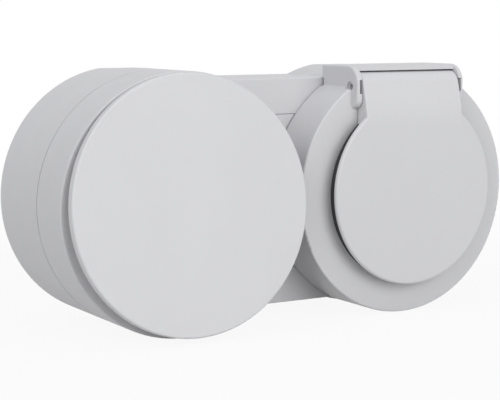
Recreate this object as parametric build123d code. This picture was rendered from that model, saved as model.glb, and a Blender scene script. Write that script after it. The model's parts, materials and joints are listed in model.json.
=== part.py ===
from build123d import *
import os
from math import cos, radians, sin, sqrt, tan

# Wall-mounted splash-proof rocker switch and socket outlet in two joined round housings.
# Millimetres. X runs to the right, Z up, and the wall is the plane Y = 0 with the front towards -Y.
# Every depth below is a distance from the wall, so a depth d lies at Y = -d.

# Fits
FIT = 0.05
CLEAR = 0.3
NARROW_CLEAR = 0.15
MERGE = 0.6
EDGE_RADIUS = 0.5

# Housings
HOUSING_R = 37.0
HOUSING_GAP = 1.0
PITCH = 2 * HOUSING_R + HOUSING_GAP
LEFT = -PITCH / 2
RIGHT = PITCH / 2
BOX_DEPTH = 26.3
SEAM_GAP = 0.3
COVER_BACK = BOX_DEPTH + SEAM_GAP
COVER_DEPTH = 15.7
COVER_FRONT = COVER_BACK + COVER_DEPTH
COVER_EDGE_FILLET = 0.5
FACE_THICKNESS = 2.0
FACE_BACK = COVER_FRONT - FACE_THICKNESS
BACK_WALL = 2.2
CUP_WALL = 2.6
CUP_INNER_R = HOUSING_R - CUP_WALL
COVER_WALL = 2.2
COVER_INNER_R = HOUSING_R - COVER_WALL
TOP_FLAT_Z = HOUSING_R - 0.43
TOP_FLAT_LENGTH = 14.0

# Box gasket on its ledge
LEDGE_R = HOUSING_R - 1.1
LEDGE_DEPTH = BOX_DEPTH - 1.0
GASKET_INNER_R = CUP_INNER_R + NARROW_CLEAR
GASKET_OUTER_R = LEDGE_R - CLEAR
GASKET_FRONT = COVER_BACK + CLEAR

# Bridge with its pockets and caps
BRIDGE_HALF_HEIGHT = HOUSING_R - 3.3
BRIDGE_FILLET = 0.4
CAP_THICKNESS = 1.6
CAP_START = 8.0
CAP_PEG_R = 1.5
CAP_PEG_LENGTH = 2.2
POCKET_DEPTH = BOX_DEPTH - 4.3
POCKET_START = CAP_START + 1.5
POCKET_END = BRIDGE_HALF_HEIGHT - 2.1
POCKET_RIB = 1.6
POCKET_WALL = 0.8
POCKET_RIB_HEIGHT = 21.5
CAP_HALF_HEIGHT = POCKET_RIB_HEIGHT + POCKET_RIB
CAP_PEG_HEIGHT = POCKET_RIB_HEIGHT - 4.0
WIRE_SLOT_HALF = 4.0
WIRE_SLOT_BACK = 8.0
WIRE_SLOT_FRONT = 16.0
WIRE_SLOT_REACH = 6.0

# Cable entry: a plate that slides into the lower wall of each cup, with a grommet in it
ENTRY_DEPTH = 13.0
ENTRY_HOLE_R = 7.0
ENTRY_HOLE_LENGTH = 12.0
ENTRY_FLAT_Z = -HOUSING_R + 1.4
ENTRY_PAD_Z = ENTRY_FLAT_Z + 3.6
GROMMET_FLANGE_R = ENTRY_HOLE_R + 1.6
GROMMET_FLANGE = 1.1
GROMMET_LIP_R = ENTRY_HOLE_R + 1.2
GROMMET_LIP = 1.3
GROMMET_TAPER = 1.0
GROMMET_SLEEVE = 2.0
GROMMET_SLEEVE_WALL = 0.9
ENTRY_HALF_LENGTH = GROMMET_FLANGE_R + 0.2
ENTRY_HALF_WIDTH = GROMMET_FLANGE_R + 0.9
CABLE_R = 4.2
ENTRY_PLATE_HALF = ENTRY_HALF_WIDTH + 0.4
ENTRY_TONGUE = 0.8
ENTRY_TONGUE_INNER_R = HOUSING_R - 1.8
ENTRY_TONGUE_OUTER_R = HOUSING_R - 0.8

# Wall screws, the lower ones clear of the cable entries
WALL_HOLE_R = 2.25
WALL_BOSS_R = 5.0
WALL_BOSS_TOP = BACK_WALL + 2.0
WALL_SCREW_SPACING = 2 * (-ENTRY_PAD_Z - WALL_BOSS_R - 1.0)

# Screw pillars and support frames
PILLAR_X = HOUSING_R * 22.5 / 37
PILLAR_Z = HOUSING_R * 21 / 37
PILLAR_R = 3.2
FRAME_BACK = BOX_DEPTH - 1.3
FRAME_THICKNESS = 1.2
FRAME_FRONT = FRAME_BACK + FRAME_THICKNESS
FRAME_R = CUP_INNER_R - 0.6
FRAME_HOLE_R = 1.8
FRAME_NOTCH_WIDTH = 4.0
FRAME_NOTCH_LENGTH = 10.4
FRAME_NOTCH_X = FRAME_R - 5.3
SCREW_R = 1.5
SCREW_HEAD_R = 3.0
SCREW_HEAD = 2.0
SCREW_HEAD_ROUND = 0.35
CROSS_LENGTH = 1.2
CROSS_WIDTH = 0.24
CROSS_DEPTH = 0.5
FRAME_SCREW_LENGTH = 11.0
FRAME_SCREW_END = FRAME_BACK - FRAME_SCREW_LENGTH

# Rocker: its pivot, and the tilt it rests at with its top edge pressed in
PIVOT_DEPTH = COVER_FRONT - 2.1
REST_TILT = 5.3
ROCKER_R = HOUSING_R - 0.8
ROCKER_STANDOFF = 5.93
ROCKER_FRONT = COVER_FRONT + ROCKER_STANDOFF
ROCKER_BACK = ROCKER_FRONT - 2.38
ROCKER_FILLET = 0.6
SKIRT_INSET = 5.2
SKIRT_OUTER_R = ROCKER_R - SKIRT_INSET
SKIRT_INNER_R = SKIRT_OUTER_R - 1.4
SKIRT_DIP = 4.7
SKIRT_END = COVER_FRONT - SKIRT_DIP
YOKE_HALF_Z = 12.0
RAIL_INNER = YOKE_HALF_Z + CLEAR
RAIL_THICKNESS = 1.3
RAIL_END = COVER_FRONT + 0.9
RIB_THICKNESS = 1.2
RIB_END = COVER_FRONT + CLEAR

# Cover screws of the switch
COVER_SCREW_Z = HOUSING_R * 24 / 37
COVER_BOSS_R = 3.3
COVER_SCREW_END = FRAME_BACK - 2.5

# Switch base and its bearing posts
BASE_FLANGE_HALF = COVER_SCREW_Z - COVER_BOSS_R - 0.7
BASE_FLANGE_FRONT = FRAME_FRONT + 1.8
BASE_HALF = BASE_FLANGE_HALF - 3.0
BASE_WALL = 1.8
BASE_BACK = 8.0
BASE_CORNER = 5.0
POST_OUTER_X = BASE_FLANGE_HALF - 0.4
POST_INNER_X = POST_OUTER_X - 3.3
POST_R = 3.0
DIVIDER_HEIGHT = 7.0
DIVIDER_TOP = BASE_BACK + DIVIDER_HEIGHT

# Tray in the switch cover that the rocker skirt dips into
TRAY_R = SKIRT_OUTER_R + 0.8
TRAY_WALL = 1.5
TRAY_DEPTH = 8.3
TRAY_FLOOR_FRONT = COVER_FRONT - TRAY_DEPTH
TRAY_FLOOR_BACK = TRAY_FLOOR_FRONT - 1.8
TRAY_OPEN_X = POST_OUTER_X + 1.4
TRAY_OPEN_MARGIN = 4.0
TRAY_OPEN_Z = YOKE_HALF_Z + TRAY_OPEN_MARGIN
TRAY_OPEN_FILLET = 5.0

# Yoke under the rocker
YOKE_HALF_X = POST_INNER_X - 0.4
YOKE_THICKNESS = 2.0
YOKE_CORNER = 2.0
YOKE_CHEEK = 2.2
YOKE_CHEEK_R = 4.0
TRUNNION_R = 1.6
TRUNNION_END = POST_OUTER_X - 0.4
TUBE_OUTER_R = 3.4
TUBE_INNER_R = 1.9
TUBE_END = PIVOT_DEPTH - 6.4
STAKE_R = 1.2
STAKE_X = YOKE_HALF_X - 4.9
STAKE_Z = YOKE_HALF_Z - 3.0

# Contact lever and the contacts it closes
LEVER_DROP = 13.0
LEVER_PIVOT = PIVOT_DEPTH - LEVER_DROP
LEVER_TILT = 6.0
LEVER_FRONT = LEVER_PIVOT + 0.9
LEVER_THICKNESS = 1.0
LEVER_HALF_WIDTH = 2.5
LEVER_HALF_LENGTH = 10.7
LEVER_HUB_R = 1.3
LEVER_CORNER = 1.5
LEVER_PIN_R = 0.8
LEVER_PIN_END = 4.4
BUTTON_R = 1.8
BUTTON_THICKNESS = 0.8
BUTTON_Z = 9.0
FIXED_BUTTON_FRONT = LEVER_PIVOT - 2.1
STRAP_THICKNESS = 0.8
BLOCK_HALF = 3.0
TERMINAL_HALF_WIDTH = 4.0
TERMINAL_TOP = BASE_BACK + 7.8
TERMINAL_OUTER_Z = BASE_HALF - BASE_WALL - 0.6
TERMINAL_INNER_Z = TERMINAL_OUTER_Z - 7.0
TERMINAL_SCREW_Z = TERMINAL_OUTER_Z - 3.6
DIVIDER_Z = (BLOCK_HALF + TERMINAL_INNER_Z) / 2
TERMINAL_HEAD_R = 2.3
TERMINAL_HEAD = 1.4
TERMINAL_SCREW_LENGTH = 5.1
TERMINAL_SLOT = 0.7
FULCRUM_EAR_INNER = LEVER_HALF_WIDTH + 0.4
FULCRUM_EAR = 1.0
FULCRUM_EAR_R = 1.7
FULCRUM_WEB = LEVER_PIVOT - 8.0
FULCRUM_WEB_THICKNESS = 1.0
FULCRUM_NECK_HALF = 1.5

# Spring plunger
PLUNGER_R = 1.6
PLUNGER_TIP = LEVER_FRONT + 0.1
PLUNGER_SHOULDER = PIVOT_DEPTH - 3.4
PLUNGER_STEM_R = 0.7
PLUNGER_STEM_END = PLUNGER_SHOULDER + 2.2
PLUNGER_SPRING_R = 1.3
PLUNGER_SPRING_WIRE = 0.25
PLUNGER_SPRING_TURNS = 5

# Socket well
WELL_R = 19.5
WELL_WALL = 1.6
WELL_DEPTH = 17.5
INSERT_R = WELL_R + 5.5
INSERT_FRONT = COVER_FRONT + 1.2
INSERT_SEAT = COVER_FRONT - 0.4
WELL_FLOOR = INSERT_FRONT - WELL_DEPTH
WELL_BACK = WELL_FLOOR - 1.6
PIN_SPACING = 19.0
PIN_HOLE_R = 2.75
KEY_RIB_HALF = 2.5
KEY_RIB_REACH = WELL_R - 2.2
EARTH_SLOT_HALF = 4.1
EARTH_SLOT_INNER = WELL_R - 2.9
EARTH_SLOT_OUTER = WELL_R + 2.4

# Collar and inner flange of the socket cover
COLLAR_INNER_R = INSERT_R + CLEAR
COLLAR_OUTER_R = COLLAR_INNER_R + 0.9
COLLAR_FRONT = COVER_FRONT + 1.7
FLANGE_INNER_R = WELL_R + 2.5

# Socket base behind the frame
SOCKET_BODY_R = WELL_R + 1.5
SOCKET_BODY_BACK = WELL_BACK - 10.4
SOCKET_FRAME_HOLE_R = WELL_R + WELL_WALL + 0.7
SOCKET_BASE_R = SOCKET_FRAME_HOLE_R + 2.2
SOCKET_BASE_FLANGE_BACK = FRAME_BACK - 2.0
SOCKET_DEEP_BACK = BACK_WALL + 2.0
SOCKET_DEEP_HALF_X = PIN_SPACING / 2 + 7.5
SOCKET_DEEP_LOW = -5.5
SOCKET_DEEP_HIGH = 6.0
SOCKET_DEEP_CORNER = 2.0
SOCKET_DEEP_WALL = 1.2

# Centre screw of the socket
INSERT_SCREW_SEAT = WELL_FLOOR - 1.0
INSERT_SCREW_HEAD = 0.9
INSERT_SCREW_END = SOCKET_BODY_BACK - 2.0

# Live contacts and earth bracket
FORK_GAP = 2.55
LEAF = 0.7
FORK_HALF_Z = 3.5
FORK_BACK = 9.0
FORK_FRONT = WELL_BACK - 2.4
FORK_STRAP_HALF = 2.0
FORK_STRAP_ROOM = 3.0
BLOCK_Z = 12.5
BLOCK_BACK = SOCKET_BODY_BACK + 1.6
BLOCK_FRONT = FORK_FRONT
CAVITY_GAP = 0.35
EARTH_HALF_WIDTH = 3.0
EARTH_THICKNESS = 0.8
EARTH_LEG_Z = WELL_R + 1.5
EARTH_TERMINAL_Z = -13.0
EARTH_ROOM = 0.2
EARTH_CLIP_FOOT = 7.5
EARTH_CLIP_WAIST = 4.05
EARTH_CLIP_TIP = 1.4
EARTH_CLIP_DIP = 2.15
EARTH_CLIP_OUTSIDE = [(INSERT_FRONT - EARTH_CLIP_FOOT, EARTH_LEG_Z),
                      (INSERT_FRONT - EARTH_CLIP_WAIST, EARTH_LEG_Z - EARTH_CLIP_DIP),
                      (INSERT_FRONT - EARTH_CLIP_TIP, EARTH_LEG_Z - 0.25)]
EARTH_CLIP_INSIDE = [(INSERT_FRONT - EARTH_CLIP_TIP + 0.45, EARTH_LEG_Z - 0.9),
                     (INSERT_FRONT - EARTH_CLIP_WAIST, EARTH_LEG_Z - EARTH_CLIP_DIP - 1.0),
                     (INSERT_FRONT - EARTH_CLIP_FOOT - 0.3, EARTH_LEG_Z - EARTH_THICKNESS)]

# Lid seal: a flat ring on the collar and a thin skirt round it
SEAL_OUTER_R = COLLAR_OUTER_R + 0.75
SEAL_INNER_R = COLLAR_INNER_R - 0.4
SEAL_SKIRT = 0.5
SEAL_SKIRT_END = COVER_FRONT + CLEAR

# Lid: thin round flange with a raised middle behind it, and a tongue up to the hinge barrel
LID_R = SEAL_OUTER_R + 1.35
LID_Z = 0.45
LID_STANDOFF = 3.5
LID_FRONT = COLLAR_FRONT + LID_STANDOFF
LID_FLANGE = 1.1
LID_THICKNESS = 2.0
LID_RIM_BACK = LID_FRONT - LID_FLANGE
LID_BACK = LID_FRONT - LID_THICKNESS
LID_FILLET = 0.8
LID_MIDDLE_R = SEAL_INNER_R - 0.3
TONGUE_HALF = 17.55
TONGUE_WALL = 1.6
TONGUE_SLOPE = 15.0
TONGUE_BEND_R = 28.0
TONGUE_FILLET = 0.5
TONGUE_LOW_Z = 9.0
BARREL_R = 4.2
BARREL_CLEAR = 0.3
HINGE_DEPTH = COVER_FRONT - 1.2
HINGE_Z = COLLAR_OUTER_R + BARREL_R + 1.0

# Hinge hood on the socket cover, with a cheek at each end
HOOD_TOP = HINGE_Z + 6.1
HOOD_ROOF = 1.5
HOOD_EDGE_FILLET = 0.6
CHEEK_INNER = TONGUE_HALF + 0.25
HOOD_HALF = CHEEK_INNER + 1.7
CHEEK_FRONT = COVER_FRONT + 2.7
CHEEK_ROUND = 5.2
CHEEK_DROP = 6.2
CHEEK_LOW_Z = HINGE_Z - CHEEK_DROP
SNAP_DEPTH = 0.85
SNAP_R = 2.0
TROUGH_WALL = 1.5
NOTCH_DROP = 2.7
NOTCH_LOW_Z = BRIDGE_HALF_HEIGHT - NOTCH_DROP
NOTCH_DEPTH = 0.8
NOTCH_WIDTH = 1.5

# Lid trunnions, cored from their ends
LID_TRUNNION_R = 1.45
LID_TRUNNION_END = HOOD_HALF - 0.5
LID_TRUNNION_CORE_R = 0.9
LID_TRUNNION_CORE = 2.4
LID_BOSS_R = SNAP_R - 0.08

# Lid spring round the core of the barrel
SPRING_HALF = 6.0
SPRING_CORE_R = 1.5
SPRING_COVER = 0.9
SPRING_R = 2.4
SPRING_WIRE_R = 0.35
SPRING_TURNS = 5
SPRING_PITCH = 1.6
SPRING_FRONT_LEG = 2.0
SPRING_BACK_LEG = 3.4


def plate(sketch, back, front):
    """Flat outline in X and Z pushed out between two depths from the wall"""
    return extrude(Plane.XZ.offset(back) * sketch, front - back)


def across(sketch, x_from, x_to):
    """Side profile in Y and Z pushed along X"""
    return extrude(Plane.YZ.offset(x_from) * sketch, x_to - x_from)


def disc(x, z, radius, back, front):
    """Round plate with its axis square to the wall"""
    return plate(Pos(x, z) * Circle(radius), back, front)


def ring(x, z, outer, inner, back, front):
    """Flat ring with its axis square to the wall"""
    return plate(Pos(x, z) * (Circle(outer) - Circle(inner)), back, front)


def rod(radius, x_from, x_to, depth, z):
    """Round bar along X"""
    return across(Pos(-depth, z) * Circle(radius), x_from, x_to)


def block(x_from, x_to, back, front, z_from, z_to):
    """Rectangular block between two depths"""
    centre = Pos((x_from + x_to) / 2, -(back + front) / 2, (z_from + z_to) / 2)
    return centre * Box(x_to - x_from, front - back, z_to - z_from)


def rounded(x, z, half_x, half_z, corner):
    """Rectangle with rounded corners"""
    return Pos(x, z) * RectangleRounded(2 * half_x, 2 * half_z, corner)


def side_profile(points):
    """Closed outline through points given as depth and height"""
    return make_face(Polyline([(-depth, height) for depth, height in points], close=True))


def about_x(shape, depth, z, degrees):
    """Shape turned about an axis along X"""
    return Pos(0, -depth, z) * Rot(degrees, 0, 0) * Pos(0, depth, -z) * shape


def coil(wire_r, mean_r, pitch, turns):
    """Helical spring along Z from the origin"""
    path = Helix(pitch=pitch, height=pitch * turns, radius=mean_r)
    section = Plane(origin=path @ 0, z_dir=path % 0) * Circle(wire_r)
    return sweep(section, path=path, is_frenet=True)


def screw(x, z, head_seat, head, head_r, end):
    """Round-headed machine screw with a cross recess"""
    body = disc(x, z, SCREW_R, end, head_seat) + disc(x, z, head_r, head_seat, head_seat + head)
    rim = body.edges().filter_by(GeomType.CIRCLE).group_by(Axis.Y)[0]
    body = fillet(rim, head * SCREW_HEAD_ROUND)
    top = head_seat + head
    for turn in (0, 90):
        slot = Pos(x, z) * Rot(0, 0, turn) * Rectangle(head_r * CROSS_LENGTH, head_r * CROSS_WIDTH)
        body = body - plate(slot, top - head * CROSS_DEPTH, top + 1)
    return body


def pillars(x):
    """Places of the four frame screws round one housing"""
    return [(x + side * PILLAR_X, up * PILLAR_Z) for side in (-1, 1) for up in (-1, 1)]


def valley(low, high, margin):
    """Outline between the two housings, from one height to another"""
    mid = (low + high) / 2
    area = Pos(0, mid) * Rectangle(PITCH, high - low)
    for x in (LEFT, RIGHT):
        area = area - Pos(x, 0) * Circle(HOUSING_R + margin)
    return area


def pillar(x, x_centre, z):
    """Screw pillar tied to the housing wall by a short rib"""
    post = disc(x, z, PILLAR_R, BACK_WALL, FRAME_BACK)
    reach = sqrt((x - x_centre) ** 2 + z ** 2)
    end = CUP_INNER_R + MERGE
    middle = (reach + end) / 2
    along = Pos(x_centre + (x - x_centre) * middle / reach, z * middle / reach)
    turn = Vector(x - x_centre, z, 0).get_signed_angle(Vector(1, 0, 0))
    rib = along * Rot(0, 0, -turn) * Rectangle(end - reach, POCKET_RIB)
    return post + plate(rib, BACK_WALL, FRAME_BACK)


def cup_wall(x):
    """Round wall of a cup with the ledge for its gasket"""
    wall = ring(x, 0, HOUSING_R, CUP_INNER_R, BACK_WALL, BOX_DEPTH)
    return wall - disc(x, 0, LEDGE_R, LEDGE_DEPTH, BOX_DEPTH + 1)


def entry_slot(x, half, tongue_gap):
    """Space that an entry plate takes in the lower wall, with a groove along each side"""
    low_z = -HOUSING_R - 1
    slot = block(x - half, x + half, BACK_WALL, BOX_DEPTH + 1, low_z, ENTRY_PAD_Z)
    groove = ring(x, 0, ENTRY_TONGUE_OUTER_R + tongue_gap, ENTRY_TONGUE_INNER_R - tongue_gap,
                  BACK_WALL, BOX_DEPTH + 1)
    reach = half + ENTRY_TONGUE
    return slot + (groove & block(x - reach, x + reach, BACK_WALL, BOX_DEPTH + 1, low_z, ENTRY_PAD_Z))


def entry_plate(x):
    """Sliding plate in the lower wall, flat round the hole for the grommet"""
    pad = block(x - ENTRY_PLATE_HALF, x + ENTRY_PLATE_HALF,
                BACK_WALL, ENTRY_DEPTH + ENTRY_HALF_LENGTH, -HOUSING_R, ENTRY_PAD_Z)
    body = cup_wall(x) + (pad & disc(x, 0, HOUSING_R, 0, BOX_DEPTH))
    body = body & entry_slot(x, ENTRY_PLATE_HALF, 0)
    recess = block(x - ENTRY_HALF_WIDTH, x + ENTRY_HALF_WIDTH,
                   ENTRY_DEPTH - ENTRY_HALF_LENGTH, ENTRY_DEPTH + ENTRY_HALF_LENGTH,
                   -HOUSING_R - 1, ENTRY_FLAT_Z)
    return body - recess - Pos(x, -ENTRY_DEPTH, ENTRY_PAD_Z) * Cylinder(ENTRY_HOLE_R, ENTRY_HOLE_LENGTH)


def wire_slot():
    """Way for the wires from one cup to the other"""
    return block(LEFT + HOUSING_R - WIRE_SLOT_REACH, RIGHT - HOUSING_R + WIRE_SLOT_REACH,
                 WIRE_SLOT_BACK, WIRE_SLOT_FRONT, -WIRE_SLOT_HALF, WIRE_SLOT_HALF)


def cup(x):
    """One round half of the back box with its bosses, pillars and a narrow flat on top"""
    body = disc(x, 0, HOUSING_R, 0, BACK_WALL) + cup_wall(x)
    body = body - entry_slot(x, ENTRY_PLATE_HALF + NARROW_CLEAR, FIT)
    for up in (-1, 1):
        z = up * WALL_SCREW_SPACING / 2
        body = body + disc(x, z, WALL_BOSS_R, BACK_WALL, WALL_BOSS_TOP)
        body = body - disc(x, z, WALL_HOLE_R, -1, WALL_BOSS_TOP + 1)
    for px, pz in pillars(x):
        body = body + pillar(px, x, pz)
        body = body - disc(px, pz, SCREW_R + FIT, FRAME_SCREW_END - 1, FRAME_BACK + 1)
    body = body - block(x - HOUSING_R, x + HOUSING_R, -1, TOP_FLAT_LENGTH, TOP_FLAT_Z, HOUSING_R + 1)
    return body - wire_slot()


def bridge():
    """Web between the two cups, cored from the wall side"""
    area = Rectangle(PITCH, 2 * BRIDGE_HALF_HEIGHT)
    web = plate(area, 0, BOX_DEPTH)
    front_edges = web.edges().filter_by(Axis.X).group_by(Axis.Y)[0]
    web = fillet(front_edges, BRIDGE_FILLET)
    for x in (LEFT, RIGHT):
        web = web - disc(x, 0, HOUSING_R, -1, BOX_DEPTH + 1)
    for up in (-1, 1):
        low = valley(POCKET_START, POCKET_RIB_HEIGHT - POCKET_RIB / 2, POCKET_WALL)
        high = valley(POCKET_RIB_HEIGHT + POCKET_RIB / 2, POCKET_END, POCKET_WALL)
        rib = Pos(0, POCKET_RIB_HEIGHT) * Rectangle(POCKET_RIB, PITCH)
        pockets = low + (high - rib)
        seat = valley(CAP_START, CAP_HALF_HEIGHT, 0)
        if up < 0:
            pockets = mirror(pockets, Plane.XZ)
            seat = mirror(seat, Plane.XZ)
        web = web - plate(pockets, -1, POCKET_DEPTH)
        web = web - plate(seat, BOX_DEPTH - CAP_THICKNESS, BOX_DEPTH + 1)
        web = web - disc(0, up * CAP_PEG_HEIGHT, CAP_PEG_R + FIT, POCKET_DEPTH - 1, BOX_DEPTH)
    return web - wire_slot()


def bridge_cap(up):
    """Small flush cap in the bridge front, with a locating peg"""
    area = valley(CAP_START + NARROW_CLEAR, CAP_HALF_HEIGHT - NARROW_CLEAR, NARROW_CLEAR)
    if up < 0:
        area = mirror(area, Plane.XZ)
    seat = BOX_DEPTH - CAP_THICKNESS
    peg = disc(0, up * CAP_PEG_HEIGHT, CAP_PEG_R, seat - CAP_PEG_LENGTH, seat)
    return plate(area, seat, BOX_DEPTH) + peg


def box_gasket(x):
    """Soft ring between a cup and its cover"""
    return ring(x, 0, GASKET_OUTER_R, GASKET_INNER_R, LEDGE_DEPTH, GASKET_FRONT)


def cover_shell(x):
    """Plain round cover with its rolled front edge, still closed in front"""
    shell = disc(x, 0, HOUSING_R, COVER_BACK, COVER_FRONT)
    rim = shell.edges().filter_by(GeomType.CIRCLE).group_by(Axis.Y)[0]
    return fillet(rim, COVER_EDGE_FILLET)


def cover_hollow(x):
    """Space inside a cover behind its face, with the gasket step"""
    step = disc(x, 0, LEDGE_R, COVER_BACK - 1, GASKET_FRONT)
    return disc(x, 0, COVER_INNER_R, COVER_BACK - 1, FACE_BACK) + step


def switch_cover():
    """Cover under the rocker: ring face, drip tray and two screw bosses"""
    tray_back = disc(LEFT, 0, TRAY_R + TRAY_WALL, TRAY_FLOOR_BACK, COVER_FRONT)
    cover = cover_shell(LEFT) - (cover_hollow(LEFT) - tray_back)
    cover = cover - disc(LEFT, 0, TRAY_R, TRAY_FLOOR_FRONT, COVER_FRONT + 1)
    opening = rounded(LEFT, 0, TRAY_OPEN_X, TRAY_OPEN_Z, TRAY_OPEN_FILLET)
    cover = cover - plate(opening, TRAY_FLOOR_BACK - 1, COVER_FRONT)
    for up in (-1, 1):
        z = up * COVER_SCREW_Z
        cover = cover + disc(LEFT, z, COVER_BOSS_R, FRAME_FRONT, TRAY_FLOOR_FRONT)
        cover = cover - disc(LEFT, z, FRAME_HOLE_R, FRAME_FRONT - 1, TRAY_FLOOR_FRONT + 1)
    return cover


def rocker_plate():
    """Round rocker plate with its skirt, ribs and stakes, level"""
    face = disc(LEFT, 0, ROCKER_R, ROCKER_BACK, ROCKER_FRONT)
    face = fillet(face.edges().filter_by(GeomType.CIRCLE).group_by(Axis.Y)[0], ROCKER_FILLET)
    face = face + ring(LEFT, 0, SKIRT_OUTER_R, SKIRT_INNER_R, SKIRT_END, ROCKER_BACK)
    for up in (-1, 1):
        rail_low = min(up * RAIL_INNER, up * (RAIL_INNER + RAIL_THICKNESS))
        face = face + block(LEFT - YOKE_HALF_X, LEFT + YOKE_HALF_X, RAIL_END, ROCKER_BACK,
                            rail_low, rail_low + RAIL_THICKNESS)
        for offset in (-STAKE_X, 0, STAKE_X):
            skirt_z = sqrt((SKIRT_INNER_R + MERGE) ** 2 - offset ** 2)
            ends = sorted((up * (RAIL_INNER + RAIL_THICKNESS), up * skirt_z))
            face = face + block(LEFT + offset - RIB_THICKNESS / 2, LEFT + offset + RIB_THICKNESS / 2,
                                RIB_END, ROCKER_BACK, ends[0], ends[1])
        for side in (-1, 1):
            face = face + disc(LEFT + side * STAKE_X, up * STAKE_Z, STAKE_R,
                               ROCKER_BACK - YOKE_THICKNESS, ROCKER_BACK)
    for side in (-1, 1):
        ends = sorted((LEFT + side * (TRUNNION_END + 2), LEFT + side * (SKIRT_INNER_R + MERGE)))
        face = face + block(ends[0], ends[1], RIB_END, ROCKER_BACK, -RIB_THICKNESS / 2, RIB_THICKNESS / 2)
    return face


def yoke():
    """Carrier staked under the rocker, with cheeks, trunnions and the plunger tube, level"""
    seat = ROCKER_BACK - YOKE_THICKNESS
    body = plate(rounded(LEFT, 0, YOKE_HALF_X, YOKE_HALF_Z, YOKE_CORNER), seat, ROCKER_BACK)
    for side in (-1, 1):
        outer = LEFT + side * YOKE_HALF_X
        inner = LEFT + side * (YOKE_HALF_X - YOKE_CHEEK)
        low, high = sorted((inner, outer))
        body = body + block(low, high, PIVOT_DEPTH, seat, -YOKE_CHEEK_R, YOKE_CHEEK_R)
        body = body + rod(YOKE_CHEEK_R, low, high, PIVOT_DEPTH, 0)
        pin_from, pin_to = sorted((outer, LEFT + side * TRUNNION_END))
        body = body + rod(TRUNNION_R, pin_from, pin_to, PIVOT_DEPTH, 0)
        for up in (-1, 1):
            body = body - disc(LEFT + side * STAKE_X, up * STAKE_Z, STAKE_R + FIT, seat - 1, ROCKER_BACK + 1)
    body = body + disc(LEFT, 0, TUBE_OUTER_R, TUBE_END, seat)
    return body - disc(LEFT, 0, TUBE_INNER_R, TUBE_END - 1, seat)


def plunger():
    """Ball-ended pin that tips the contact lever, level"""
    centre = PLUNGER_TIP + PLUNGER_R
    pin = disc(LEFT, 0, PLUNGER_R, centre, PLUNGER_SHOULDER)
    pin = pin + Pos(LEFT, -centre, 0) * Sphere(PLUNGER_R)
    return pin + disc(LEFT, 0, PLUNGER_STEM_R, PLUNGER_SHOULDER, PLUNGER_STEM_END)


def plunger_spring():
    """Compression spring behind the plunger, level"""
    start = PLUNGER_SHOULDER + PLUNGER_SPRING_WIRE
    length = ROCKER_BACK - YOKE_THICKNESS - PLUNGER_SPRING_WIRE - start
    wire = coil(PLUNGER_SPRING_WIRE, PLUNGER_SPRING_R, length / PLUNGER_SPRING_TURNS, PLUNGER_SPRING_TURNS)
    return Pos(LEFT, -start, 0) * Rot(90, 0, 0) * wire


def support_frame(x, opening, threaded):
    """Pressed steel plate on the four pillars of a cup"""
    outline = Pos(x, 0) * Circle(FRAME_R) - opening
    for side in (-1, 1):
        notch = SlotOverall(FRAME_NOTCH_LENGTH, FRAME_NOTCH_WIDTH, 90)
        outline = outline - Pos(x + side * FRAME_NOTCH_X, 0) * notch
    for px, pz in pillars(x):
        outline = outline - Pos(px, pz) * Circle(FRAME_HOLE_R)
    for tx, tz in threaded:
        outline = outline - Pos(tx, tz) * Circle(SCREW_R + FIT)
    return plate(outline, FRAME_BACK, FRAME_FRONT)


def switch_frame():
    """Frame with a square opening for the switch base"""
    opening = rounded(LEFT, 0, BASE_HALF + CLEAR, BASE_HALF + CLEAR, BASE_CORNER)
    return support_frame(LEFT, opening, [(LEFT, COVER_SCREW_Z), (LEFT, -COVER_SCREW_Z)])


def socket_frame():
    """Frame with a round opening for the socket well"""
    return support_frame(RIGHT, Pos(RIGHT, 0) * Circle(SOCKET_FRAME_HOLE_R), [])


def switch_base():
    """Open-fronted base with flange, dividers and two bearing posts"""
    inner = rounded(LEFT, 0, BASE_HALF - BASE_WALL, BASE_HALF - BASE_WALL, BASE_CORNER - BASE_WALL)
    base = plate(rounded(LEFT, 0, BASE_HALF, BASE_HALF, BASE_CORNER), BASE_BACK, FRAME_FRONT)
    flange = rounded(LEFT, 0, BASE_FLANGE_HALF, BASE_FLANGE_HALF, BASE_CORNER + 1)
    base = base + plate(flange, FRAME_FRONT, BASE_FLANGE_FRONT)
    floor = BASE_BACK + BASE_WALL
    base = base - plate(inner, floor, BASE_FLANGE_FRONT + 1)
    reach = BASE_HALF - BASE_WALL / 2
    for up in (-1, 1):
        base = base + block(LEFT - reach, LEFT + reach, floor, DIVIDER_TOP,
                            up * DIVIDER_Z - RIB_THICKNESS / 2, up * DIVIDER_Z + RIB_THICKNESS / 2)
    for side in (-1, 1):
        low, high = sorted((LEFT + side * POST_INNER_X, LEFT + side * POST_OUTER_X))
        post = block(low, high, FRAME_FRONT, PIVOT_DEPTH, -POST_R, POST_R)
        post = post + rod(POST_R, low, high, PIVOT_DEPTH, 0)
        base = base + post - rod(TRUNNION_R + FIT, low - 1, high + 1, PIVOT_DEPTH, 0)
    for z in (-TERMINAL_SCREW_Z, 0, TERMINAL_SCREW_Z):
        base = base - disc(LEFT, z, TERMINAL_HEAD_R + CLEAR, BASE_BACK - 1, floor)
    return base


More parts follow.
